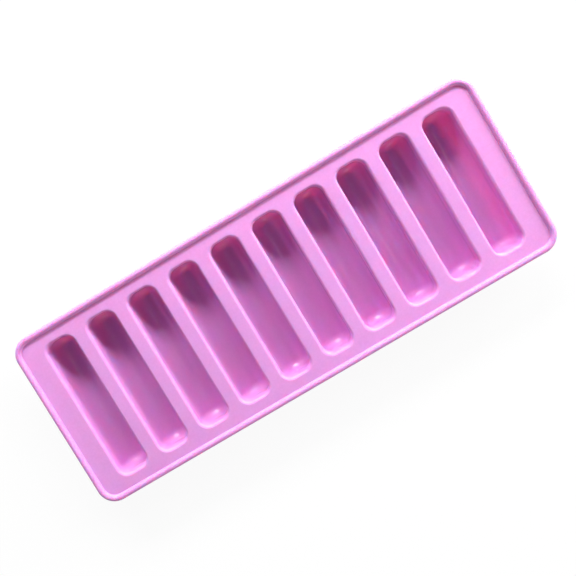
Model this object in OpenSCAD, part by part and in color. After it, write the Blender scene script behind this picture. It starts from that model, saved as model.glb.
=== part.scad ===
// Cylinder ice mould: one piece of silicone, moulded as a flat deck inside a raised rim,
// with a row of long cavities that hang below it and have half-round floors.
// Sizes are in millimetres. The row runs along X, each cavity lies along Y, and the
// mould stands at Z = 0 on the undersides of its cavities, centred on the origin.

/* [Cavities] */
// Number of cavities in the row
cavity_count = 10; // [2:1:14]
// Distance between the centre lines of two neighbouring cavities
cavity_pitch = 24.7; // [23:0.1:32]
// Width of a cavity between its side walls
cavity_width = 16.4; // [13:0.1:17]
// Length of a cavity between its end walls
cavity_length = 78.8; // [40:0.2:120]
// Depth of a cavity, from the top of the deck to the lowest line of its floor
cavity_depth = 15.6; // [11:0.1:30]
// Radius of a cavity's corners, in plan and where its end walls turn into the floor
cavity_corner_r = 5.2; // [2:0.1:6]
// Radius of the rounded lip around the mouth of each cavity
lip_r = 1.4; // [0.4:0.1:1.5]

/* [Walls] */
// Thickness of the deck
deck_thickness = 1.8; // [1.4:0.1:3]
// Thickness of the walls and floors of the cavities
wall_thickness = 1.4; // [1:0.1:1.8]
// Radius of the fillet under the deck, where the cavity walls leave it
under_fillet_r = 1; // [0.4:0.1:1]

/* [Rim] */
// Flat deck between the side wall of an end cavity and the foot of the rim
end_margin = 11.9; // [5:0.1:30]
// Flat deck between the end walls of the cavities and the foot of the rim
side_margin = 6.5; // [5:0.1:30]
// Width of the rim, which is also the diameter of its round crest
rim_width = 3.3; // [3:0.1:4.6]
// Height of the rim's crest above the deck
rim_rise = 1.6; // [1.2:0.1:4]
// Radius of the fillet at the inner foot of the rim
rim_foot_r = 0.4; // [0.2:0.1:0.8]
// Radius of the lower outer edge of the rim
rim_edge_r = 0.8; // [0.3:0.1:1]
// Radius of the deck's corners, inside the rim
deck_corner_r = 6.5; // [4:0.1:10]

/* [Hidden] */

// Segments in a full turn of the large curves and of the small fillets
curve_fn = 96;
fillet_fn = 32;
// How far a cut runs past the surface that it opens
overcut = 1;
// How far the deck, the rim and the shells of the one moulding run into each other
overlap = 0.5;

silicone_colour = [0.87, 0.55, 0.84];

// Heights of the deck above the surface that the mould stands on
deck_top = wall_thickness + cavity_depth;
deck_bottom = deck_top - deck_thickness;

// Outer size of one cavity's shell, which follows the cavity at the wall's thickness
shell_width = cavity_width + 2 * wall_thickness;
shell_length = cavity_length + 2 * wall_thickness;
shell_corner_r = cavity_corner_r + wall_thickness;

// Size of the flat deck inside the rim
row_length = (cavity_count - 1) * cavity_pitch + cavity_width;
deck_x = row_length + 2 * end_margin;
deck_y = cavity_length + 2 * side_margin;

// Rectangle with rounded corners, centred on the origin
module rounded_plan(x, y, corner_r) {
    square([x - 2 * corner_r, y], center = true);
    square([x, y - 2 * corner_r], center = true);
    for (sx = [-1, 1], sy = [-1, 1])
        translate([sx * (x / 2 - corner_r), sy * (y / 2 - corner_r)])
            circle(r = corner_r, $fn = curve_fn);
}

// Carries a section once around a rounded rectangle. The section's X is the distance
// outwards from the rectangle and its Y is the height.
module around_plan(x, y, corner_r) {
    for (side = [0 : 3]) {
        across = side % 2 == 0 ? x : y;
        run = (side % 2 == 0 ? y : x) - 2 * corner_r;
        rotate(90 * side) {
            translate([across / 2, run / 2, 0])
                rotate([90, 0, 0])
                    linear_extrude(run)
                        children();
            translate([across / 2 - corner_r, run / 2, 0])
                rotate_extrude(angle = 90, $fn = curve_fn)
                    translate([corner_r, 0])
                        children();
        }
    }
}

// Puts a copy of its child at each cavity of the row
module at_each_cavity() {
    for (i = [0 : cavity_count - 1])
        translate([(i - (cavity_count - 1) / 2) * cavity_pitch, 0, 0])
            children();
}

// Trough with straight walls above a half-round floor, filled solid. The same corner
// radius rounds its plan and blends its end walls into the floor.
module trough(width, length, corner_r, bottom, top) {
    centre_z = bottom + width / 2;
    translate([0, 0, centre_z]) {
        linear_extrude(top - centre_z)
            rounded_plan(width, length, corner_r);
        rotate([-90, 0, 0])
            rotate_extrude(angle = 180, $fn = curve_fn)
                intersection() {
                    rounded_plan(width, length, corner_r);
                    translate([0, -length])
                        square([width, 2 * length]);
                }
    }
}

// Section of the ring that is cut away to round the lip of a mouth
module lip_section() {
    difference() {
        translate([0, -lip_r])
            square([lip_r, lip_r + overcut]);
        translate([lip_r, -lip_r])
            circle(r = lip_r, $fn = fillet_fn);
    }
}

// Section of the fillet that joins a cavity's shell to the underside of the deck
module under_fillet_section() {
    difference() {
        translate([-overlap, -under_fillet_r])
            square([under_fillet_r + overlap, under_fillet_r + overlap]);
        translate([under_fillet_r, -under_fillet_r])
            circle(r = under_fillet_r, $fn = fillet_fn);
    }
}

// Section of the rim, from its inner foot outwards, with the deck's top at height 0
module rim_section() {
    crest_r = rim_width / 2;
    crest_z = rim_rise - crest_r;
    // Round crest, the inner half of the rim below the deck's top, and the sides below the crest
    intersection() {
        translate([crest_r, crest_z])
            circle(r = crest_r, $fn = fillet_fn);
        translate([0, crest_z])
            square([rim_width, crest_r]);
    }
    translate([-overlap, -deck_thickness])
        square([crest_r + overlap, deck_thickness]);
    translate([0, -deck_thickness + rim_edge_r])
        square([rim_width, deck_thickness - rim_edge_r + crest_z]);
    // Lower outer edge
    translate([0, -deck_thickness])
        square([rim_width - rim_edge_r, rim_edge_r]);
    translate([rim_width - rim_edge_r, -deck_thickness + rim_edge_r])
        circle(r = rim_edge_r, $fn = fillet_fn);
    // Fillet at the inner foot, which touches the deck and the crest, or the side below the crest
    centre_gap = crest_r + rim_foot_r;
    over_crest = max(0, rim_foot_r - crest_z);
    foot_reach = sqrt(pow(centre_gap, 2) - pow(over_crest, 2)) - crest_r;
    touch_x = crest_r - (crest_r + foot_reach) * crest_r / centre_gap;
    touch_z = rim_foot_r - over_crest * rim_foot_r / centre_gap;
    difference() {
        polygon([[-foot_reach, 0], [crest_r, 0], [touch_x, touch_z], [-foot_reach, touch_z]]);
        translate([-foot_reach, rim_foot_r])
            circle(r = rim_foot_r, $fn = fillet_fn);
    }
}

// Shell of one cavity with the fillet that joins it to the deck
module cavity_shell() {
    trough(shell_width, shell_length, shell_corner_r, 0, deck_bottom + overlap);
    translate([0, 0, deck_bottom])
        around_plan(shell_width, shell_length, shell_corner_r)
            under_fillet_section();
}

// Hollow of one cavity with its rounded lip
module cavity_hollow() {
    trough(cavity_width, cavity_length, cavity_corner_r, wall_thickness, deck_top + overcut);
    translate([0, 0, deck_top])
        around_plan(cavity_width, cavity_length, cavity_corner_r)
            lip_section();
}

// The whole mould
module mould_tray() {
    color(silicone_colour)
        difference() {
            union() {
                translate([0, 0, deck_bottom])
                    linear_extrude(deck_thickness)
                        rounded_plan(deck_x, deck_y, deck_corner_r);
                translate([0, 0, deck_top])
                    around_plan(deck_x, deck_y, deck_corner_r)
                        rim_section();
                at_each_cavity()
                    cavity_shell();
            }
            at_each_cavity()
                cavity_hollow();
        }
}

mould_tray();
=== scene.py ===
"""Dresses the packed ice mould as pink silicone, on a fine mesh with the same sizes as its solid,
and views it from the photograph's camera."""
import math

import bpy
from mathutils import Matrix, Vector
from mathutils.geometry import tessellate_polygon


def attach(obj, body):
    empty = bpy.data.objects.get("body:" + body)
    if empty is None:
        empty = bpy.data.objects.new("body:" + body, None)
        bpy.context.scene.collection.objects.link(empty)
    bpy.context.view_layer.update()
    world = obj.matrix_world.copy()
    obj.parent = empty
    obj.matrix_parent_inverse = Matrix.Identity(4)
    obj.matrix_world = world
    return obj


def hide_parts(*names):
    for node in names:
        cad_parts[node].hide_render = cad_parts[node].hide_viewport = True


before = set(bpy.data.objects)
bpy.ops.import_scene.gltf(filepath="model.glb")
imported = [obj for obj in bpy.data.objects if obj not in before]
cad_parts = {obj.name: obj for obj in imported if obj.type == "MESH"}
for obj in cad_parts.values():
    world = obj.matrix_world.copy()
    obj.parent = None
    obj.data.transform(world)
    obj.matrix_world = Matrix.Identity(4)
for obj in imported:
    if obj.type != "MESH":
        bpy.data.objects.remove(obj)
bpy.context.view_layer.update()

MM = 0.001
QUARTER_TURN = math.pi / 2

# Sizes of the solid in millimetres, as its source has them
COUNT, PITCH = 10, 24.7
WIDTH, LENGTH, DEPTH, CORNER, LIP = 16.4, 78.8, 15.6, 5.2, 1.4
DECK, WALL, UNDER_FILLET = 1.8, 1.4, 1.0
END_MARGIN, SIDE_MARGIN, DECK_CORNER = 11.9, 6.5, 6.5
RIM_WIDTH, RIM_RISE, RIM_FOOT, RIM_EDGE = 3.3, 1.6, 0.4, 0.8
DECK_TOP = WALL + DEPTH
DECK_BOTTOM = DECK_TOP - DECK
DECK_X = (COUNT - 1) * PITCH + WIDTH + 2 * END_MARGIN
DECK_Y = LENGTH + 2 * SIDE_MARGIN

# Steps of the fine mesh around the small curves, and bands of faces up a cavity's straight wall
LIP_STEPS, UNDER_FILLET_STEPS = 10, 6
RIM_FOOT_STEPS, RIM_CREST_STEPS, RIM_EDGE_STEPS = 6, 24, 8
WALL_BANDS = 3

# Heights between which the silicone's looks change: the gloss of the floors ends, the deck's paler
# tint (painted sheen, against the cavities' painted shade) and its roughness begin, and the
# roughness ends again on the rim
GLOSS_FADES, GLOSS_ENDS = 8.0 * MM, 12.0 * MM
DECK_BEGINS, DECK_FULL = 13.5 * MM, 16.8 * MM
CREST_BEGINS, CREST_FULL = 17.1 * MM, 17.6 * MM

# Deepest and palest colour of the deck and of the cavities. The deck's are paler as painted sheen,
# the cavities' deeper as painted shade.
DECK_COLOURS_PAINTED_SHEEN = (0.638, 0.296, 0.632, 1), (0.698, 0.328, 0.692, 1)
CAVITY_COLOURS_PAINTED_SHADE = (0.636, 0.244, 0.590, 1), (0.694, 0.268, 0.644, 1)
# Roughness where handling has left the skin glossiest and least glossy, and what the deck adds
SMOOTH, WORN, DECK_ADDS = 0.46, 0.54, 0.26
# Range in which most of a noise's values lie
NOISE_LOW, NOISE_HIGH = 0.3, 0.7

FLOOR_HALF = 20.0
FLOOR_COLOUR = (0.9, 0.9, 0.9, 1)
# Share of plain white in the floor as the camera sees it. The rest shows the mould's shadow.
FLOOR_WHITE = 0.93

WORLD_LEVEL = 0.11
LAMP_DISTANCE = 1.2


def arc(steps, start, end):
    """Angles from start to end, both included."""
    return [start + (end - start) * i / steps for i in range(steps + 1)]


class Skin:
    """A mesh under construction, in which every point carries the true normal of the surface."""

    def __init__(self):
        self.points, self.normals, self.faces = [], [], []

    def point(self, position, normal):
        """Adds a point and returns its number."""
        self.points.append(Vector(position))
        self.normals.append(Vector(normal).normalized())
        return len(self.points) - 1

    def face(self, corners):
        """Adds a face, wound to agree with the normals of its corners. Where two neighbouring
        corners are one point, a quad becomes a triangle."""
        corners = [c for i, c in enumerate(corners) if c != corners[i - 1]]
        a, b, c = (self.points[i] for i in corners[:3])
        flat = (b - a).cross(c - a)
        if len(corners) == 4:
            flat += (c - a).cross(self.points[corners[3]] - a)
        lean = sum((self.normals[i] for i in corners), Vector())
        self.faces.append(corners if flat.dot(lean) > 0 else corners[::-1])

    def bridge(self, ring, other):
        """Joins two closed rings that have equally many points."""
        for i in range(len(ring)):
            self.face([ring[i - 1], ring[i], other[i], other[i - 1]])

    def plate(self, rings):
        """Fills a flat face inside the first ring and outside the others."""
        flat = [i for ring in rings for i in ring]
        for triangle in tessellate_polygon([[self.points[i] for i in ring] for ring in rings]):
            self.face([flat[i] for i in triangle])


def half_plan(x, y, corner, end_steps, corner_steps, side_steps):
    """The right half of a rounded rectangle, from its upper to its lower middle, as a list of
    places (x, y) with their outward directions (x, y)."""
    half_x, half_y = x / 2 - corner, y / 2 - corner
    row = [((half_x * i / end_steps, y / 2), (0, 1)) for i in range(end_steps)]
    for a in arc(corner_steps, QUARTER_TURN, 0):
        across, along = math.cos(a), math.sin(a)
        row.append(((half_x + corner * across, half_y + corner * along), (across, along)))
    row += [((x / 2, half_y - 2 * half_y * i / side_steps), (1, 0)) for i in range(1, side_steps)]
    upper = row[:end_steps + corner_steps + 1]
    lower = [((px, -py), (nx, -ny)) for (px, py), (nx, ny) in upper]
    return row + lower[::-1]


def whole_plan(half):
    """The closed outline of which half_plan gives the right half."""
    left = [((-px, py), (-nx, ny)) for (px, py), (nx, ny) in half[1:-1]]
    return half + left[::-1]


def add_ring(skin, outline, centre_x, offset, height, tilt):
    """Adds an outline moved outwards by offset. Its normals are tilt: outwards and up."""
    out, up = tilt
    return [skin.point((centre_x + px + nx * offset, py + ny * offset, height),
                       (nx * out, ny * out, up))
            for (px, py), (nx, ny) in outline]


def add_bands(skin, ring, outline, centre_x, sections):
    """Continues a surface from a ring through sections (offset, height, tilt), and returns its
    last ring."""
    for offset, height, tilt in sections:
        upper = add_ring(skin, outline, centre_x, offset, height, tilt)
        skin.bridge(ring, upper)
        ring = upper
    return ring


def add_trough(skin, half, centre_x, width, bottom, steps, outward):
    """Adds the half-round lower part of a trough and returns the ring on which it ends.
    The normals point away from the trough's middle if outward is 1, and towards it if -1."""
    centre_z = bottom + width / 2
    last = len(half) - 1
    rows = []
    for turn in arc(steps, 0, math.pi):
        across, down = math.cos(turn), -math.sin(turn)
        row = []
        for j, ((r, y), (nr, ny)) in enumerate(half):
            if rows and j in (0, last):
                row.append(rows[0][j])
                continue
            row.append(skin.point((centre_x + r * across, y, centre_z + r * down),
                                  (outward * nr * across, outward * ny, outward * nr * down)))
        rows.append(row)
    for row, other in zip(rows, rows[1:]):
        for j in range(last):
            skin.face([row[j], row[j + 1], other[j + 1], other[j]])
    return rows[0] + rows[-1][1:-1][::-1]


def add_hollow(skin, centre_x):
    """Adds the inside of one cavity and returns the ring of its mouth."""
    half = half_plan(WIDTH, LENGTH, CORNER, end_steps=3, corner_steps=14, side_steps=10)
    ring = add_trough(skin, half, centre_x, WIDTH, WALL, steps=48, outward=-1)
    low = WALL + WIDTH / 2
    lip_foot = DECK_TOP - LIP
    sections = [(0, low + (lip_foot - low) * i / WALL_BANDS, (-1, 0)) for i in range(1, WALL_BANDS)]
    sections += [
        (LIP * (1 - math.cos(a)), lip_foot + LIP * math.sin(a), (-math.cos(a), math.sin(a)))
        for a in arc(LIP_STEPS, 0, QUARTER_TURN)]
    return add_bands(skin, ring, whole_plan(half), centre_x, sections)


def add_shell(skin, centre_x):
    """Adds the outside of one cavity and returns the ring on which it meets the deck."""
    width, length = WIDTH + 2 * WALL, LENGTH + 2 * WALL
    half = half_plan(width, length, CORNER + WALL, end_steps=3, corner_steps=12, side_steps=8)
    ring = add_trough(skin, half, centre_x, width, 0, steps=40, outward=1)
    low = DECK_BOTTOM - UNDER_FILLET
    sections = [
        (UNDER_FILLET * (1 - math.cos(a)), low + UNDER_FILLET * math.sin(a),
         (math.cos(a), -math.sin(a)))
        for a in arc(UNDER_FILLET_STEPS, 0, QUARTER_TURN)]
    return add_bands(skin, ring, whole_plan(half), centre_x, sections)


def rim_sections():
    """The rim's section from its inner foot, over the crest, to the deck's underside: the distance
    out from the deck's edge, the height above its top, and the normal as outwards and up."""
    crest = RIM_WIDTH / 2
    crest_z = RIM_RISE - crest
    gap = crest + RIM_FOOT
    reach = math.sqrt(gap ** 2 - (RIM_FOOT - crest_z) ** 2) - crest
    touch = math.atan2(crest + reach, RIM_FOOT - crest_z)
    edge_x, edge_z = RIM_WIDTH - RIM_EDGE, RIM_EDGE - DECK
    rows = []
    for a in arc(RIM_FOOT_STEPS, 0, touch):
        place = -reach + RIM_FOOT * math.sin(a), RIM_FOOT - RIM_FOOT * math.cos(a)
        rows.append((*place, (-math.sin(a), math.cos(a))))
    for a in arc(RIM_CREST_STEPS, touch, -QUARTER_TURN)[1:]:
        place = crest - crest * math.sin(a), crest_z + crest * math.cos(a)
        rows.append((*place, (-math.sin(a), math.cos(a))))
    for a in arc(RIM_EDGE_STEPS, 0, QUARTER_TURN):
        place = edge_x + RIM_EDGE * math.cos(a), edge_z - RIM_EDGE * math.sin(a)
        rows.append((*place, (math.cos(a), -math.sin(a))))
    return rows


def mould_mesh():
    """The whole mould as one closed mesh, with the true normals of its surface."""
    skin = Skin()
    centres = [(i - (COUNT - 1) / 2) * PITCH for i in range(COUNT)]
    half = half_plan(DECK_X, DECK_Y, DECK_CORNER, end_steps=12, corner_steps=18, side_steps=6)
    outline = whole_plan(half)
    rings = [add_ring(skin, outline, 0, offset, DECK_TOP + height, tilt)
             for offset, height, tilt in rim_sections()]
    for ring, other in zip(rings, rings[1:]):
        skin.bridge(ring, other)
    skin.plate([rings[0]] + [add_hollow(skin, x) for x in centres])
    skin.plate([rings[-1]] + [add_shell(skin, x) for x in centres])
    mesh = bpy.data.meshes.new("silicone_mould")
    mesh.from_pydata([p * MM for p in skin.points], [], skin.faces)
    mesh.shade_smooth()
    mesh.normals_split_custom_set_from_vertices(skin.normals)
    return mesh


class Tree:
    """Short ways to add and link the nodes of one material."""

    def __init__(self, name):
        self.material = bpy.data.materials.new(name)
        self.material.use_nodes = True
        self.tree = self.material.node_tree
        self.tree.nodes.clear()

    def add(self, kind, inputs=(), **settings):
        """Adds a node. A socket among its inputs is linked, and any other value is set."""
        node = self.tree.nodes.new(kind)
        for key, value in settings.items():
            setattr(node, key, value)
        for key, value in dict(inputs).items():
            if isinstance(value, bpy.types.NodeSocket):
                self.tree.links.new(value, node.inputs[key])
            else:
                node.inputs[key].default_value = value
        return node

    def calculate(self, operation, *values):
        """The result of one of the math node's operations."""
        node = self.add("ShaderNodeMath", enumerate(values), operation=operation)
        return node.outputs[0]

    def noise(self, place, scale, detail=2.0, roughness=0.5):
        """Smooth noise over the surface, with scale in features per metre."""
        return self.add("ShaderNodeTexNoise", {
            "Vector": place, "Scale": scale, "Detail": detail,
            "Roughness": roughness}).outputs["Fac"]

    def remap(self, value, low, high, to_low, to_high):
        """Value, stretched from one range to another and kept inside it."""
        return self.add("ShaderNodeMapRange", {
            "Value": value, "From Min": low, "From Max": high,
            "To Min": to_low, "To Max": to_high}).outputs["Result"]

    def spread(self, noise, to_low, to_high):
        """Noise, stretched to a range."""
        return self.remap(noise, NOISE_LOW, NOISE_HIGH, to_low, to_high)

    def mix(self, share, colour, other):
        """Colour where share is 0, other where it is 1."""
        node = self.add("ShaderNodeMix", {"Factor": share, "A": colour, "B": other},
                        data_type="RGBA")
        return node.outputs["Result"]

    def mix_shaders(self, share, shader, other):
        """Shader where share is 0, other where it is 1."""
        return self.add("ShaderNodeMixShader", {0: share, 1: shader, 2: other}).outputs[0]

    def finish(self, shader):
        """Makes the shader the material's surface and returns the material."""
        self.add("ShaderNodeOutputMaterial", {"Surface": shader})
        return self.material


def silicone():
    """Dyed silicone: light goes some way into it, red light furthest, its skin has a fine grain, and
    handling has left patches a little glossier than the rest. The deck is paler than the cavities,
    which is painted sheen on the deck and painted shade in the cavities, and it is rougher; the
    floors are the glossiest."""
    t = Tree("silicone")
    place = t.add("ShaderNodeTexCoord").outputs["Object"]
    height = t.add("ShaderNodeSeparateXYZ", {"Vector": place}).outputs["Z"]
    # raised picks the deck's paler colours, painted sheen, as well as its real roughness
    raised = t.remap(height, DECK_BEGINS, DECK_FULL, 0.0, 1.0)

    clouds = t.spread(t.noise(place, 28.0, detail=3.0), 0.0, 0.4)
    flecks = t.spread(t.noise(place, 900.0), 0.0, 0.6)
    mottle = t.calculate("ADD", clouds, flecks)
    # Painted sheen and shade: the deck gets the paler colours and the cavities the deeper ones, with
    # a random mottle in both
    mottled_tint_and_painted_light = t.mix(raised, t.mix(mottle, *CAVITY_COLOURS_PAINTED_SHADE), t.mix(mottle, *DECK_COLOURS_PAINTED_SHEEN))

    below_crest = t.remap(height, CREST_BEGINS, CREST_FULL, 1.0, 0.0)
    matt = t.calculate("MULTIPLY", raised, below_crest)
    smears = t.spread(t.noise(place, 70.0, detail=4.0, roughness=0.6), SMOOTH, WORN)

    waves = t.noise(place, 120.0, detail=1.0)
    ripple = t.add("ShaderNodeBump", {"Height": waves, "Strength": 0.25, "Distance": 0.04 * MM})
    grain = t.noise(place, 2600.0, detail=3.0, roughness=0.6)
    skin = t.add("ShaderNodeBump", {
        "Height": grain, "Strength": 0.35, "Distance": 0.02 * MM,
        "Normal": ripple.outputs["Normal"]})

    shader = t.add("ShaderNodeBsdfPrincipled", {
        "Base Color": mottled_tint_and_painted_light,
        "Roughness": t.calculate("MULTIPLY_ADD", matt, DECK_ADDS, smears),
        "IOR": 1.45,
        "Normal": skin.outputs["Normal"],
        "Subsurface Weight": 1.0,
        "Subsurface Radius": (2.9, 0.9, 0.85),
        "Subsurface Scale": 1.0 * MM,
        "Coat Weight": t.remap(height, GLOSS_FADES, GLOSS_ENDS, 1.0, 0.0),
        "Coat Roughness": 0.05,
        "Coat IOR": 1.45})
    return t.finish(shader.outputs["BSDF"])


def add_mould():
    """Adds the fine mesh in silicone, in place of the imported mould."""
    mesh = mould_mesh()
    mould = bpy.data.objects.new("silicone_mould", mesh)
    bpy.context.scene.collection.objects.link(mould)
    material = silicone()
    mesh.materials.append(material)
    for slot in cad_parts["mould_tray"].material_slots:
        slot.material = material
    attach(mould, "root")
    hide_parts("mould_tray")


def place_camera():
    """The camera that the photo's perspective gives. Its small shift is the photo's own crop."""
    data = bpy.data.cameras.new("photo_camera")
    data.sensor_width = 36
    data.lens = 42.13
    data.shift_x = 0.0577
    data.shift_y = -0.0543
    camera = bpy.data.objects.new("photo_camera", data)
    bpy.context.scene.collection.objects.link(camera)
    position = Vector((18.3, 37.23, 357.0)) * MM
    forward = Vector((-0.05767, -0.0393, -0.99756)).normalized()
    up = Vector((0.51344, 0.85578, -0.0634))
    right = forward.cross(up).normalized()
    up = right.cross(forward)
    turn = Matrix((right, up, -forward)).transposed()
    camera.matrix_world = Matrix.Translation(position) @ turn.to_4x4()
    bpy.context.scene.camera = camera


def floor():
    """A plain pale floor. Seen by the camera it is nearly white, and the mould's shadow still shows.
    From below it is clear, so that the mould's underside can be seen."""
    corners = [(FLOOR_HALF * x, FLOOR_HALF * y, 0) for x, y in ((-1, -1), (1, -1), (1, 1), (-1, 1))]
    mesh = bpy.data.meshes.new("floor")
    mesh.from_pydata(corners, [], [(0, 1, 2, 3)])
    plane = bpy.data.objects.new("floor", mesh)
    bpy.context.scene.collection.objects.link(plane)

    t = Tree("floor")
    paint = t.add("ShaderNodeBsdfDiffuse", {"Color": FLOOR_COLOUR}).outputs[0]
    glow = t.add("ShaderNodeEmission", {"Strength": 1.0}).outputs[0]
    clear = t.add("ShaderNodeBsdfTransparent").outputs[0]
    path = t.add("ShaderNodeLightPath").outputs
    seen = t.calculate("MAXIMUM", path["Is Camera Ray"], path["Is Glossy Ray"])
    seen = t.calculate("MAXIMUM", seen, path["Is Transmission Ray"])
    above = t.mix_shaders(t.calculate("MULTIPLY", seen, FLOOR_WHITE), paint, glow)
    back = t.add("ShaderNodeNewGeometry").outputs["Backfacing"]
    seen_from_below = t.calculate("MULTIPLY", back, path["Is Camera Ray"])
    mesh.materials.append(t.finish(t.mix_shaders(seen_from_below, above, clear)))


def lamp(name, azimuth, elevation, width, height, power):
    """A soft rectangular lamp, aimed at the mould. Its angles are in degrees, its sizes in metres
    and its power in watts. The azimuth runs from +X towards +Y."""
    data = bpy.data.lights.new(name, "AREA")
    data.shape = "RECTANGLE"
    data.size, data.size_y = width, height
    data.energy = power
    obj = bpy.data.objects.new(name, data)
    bpy.context.scene.collection.objects.link(obj)
    turn, rise = math.radians(azimuth), math.radians(elevation)
    away = Vector((math.cos(rise) * math.cos(turn), math.cos(rise) * math.sin(turn), math.sin(rise)))
    obj.location = away * LAMP_DISTANCE
    obj.rotation_euler = away.to_track_quat("Z", "Y").to_euler()


def lights():
    """A dim white world and four lamps: the key gives the highlights at the cavities' lower ends,
    the strip the thin one along their floors."""
    world = bpy.data.worlds.new("world")
    bpy.context.scene.world = world
    world.use_nodes = True
    background = world.node_tree.nodes["Background"]
    background.inputs["Color"].default_value = (1, 1, 1, 1)
    background.inputs["Strength"].default_value = WORLD_LEVEL
    lamp("key", azimuth=79, elevation=27, width=1.0, height=0.25, power=25)
    lamp("side", azimuth=22, elevation=22, width=0.6, height=0.5, power=17.2)
    lamp("strip", azimuth=-17, elevation=57, width=0.4, height=0.15, power=0.3)
    lamp("fill", azimuth=270, elevation=15, width=1.4, height=0.6, power=5.5)


add_mould()
place_camera()
floor()
lights()
bpy.context.scene.view_settings.view_transform = "Standard"
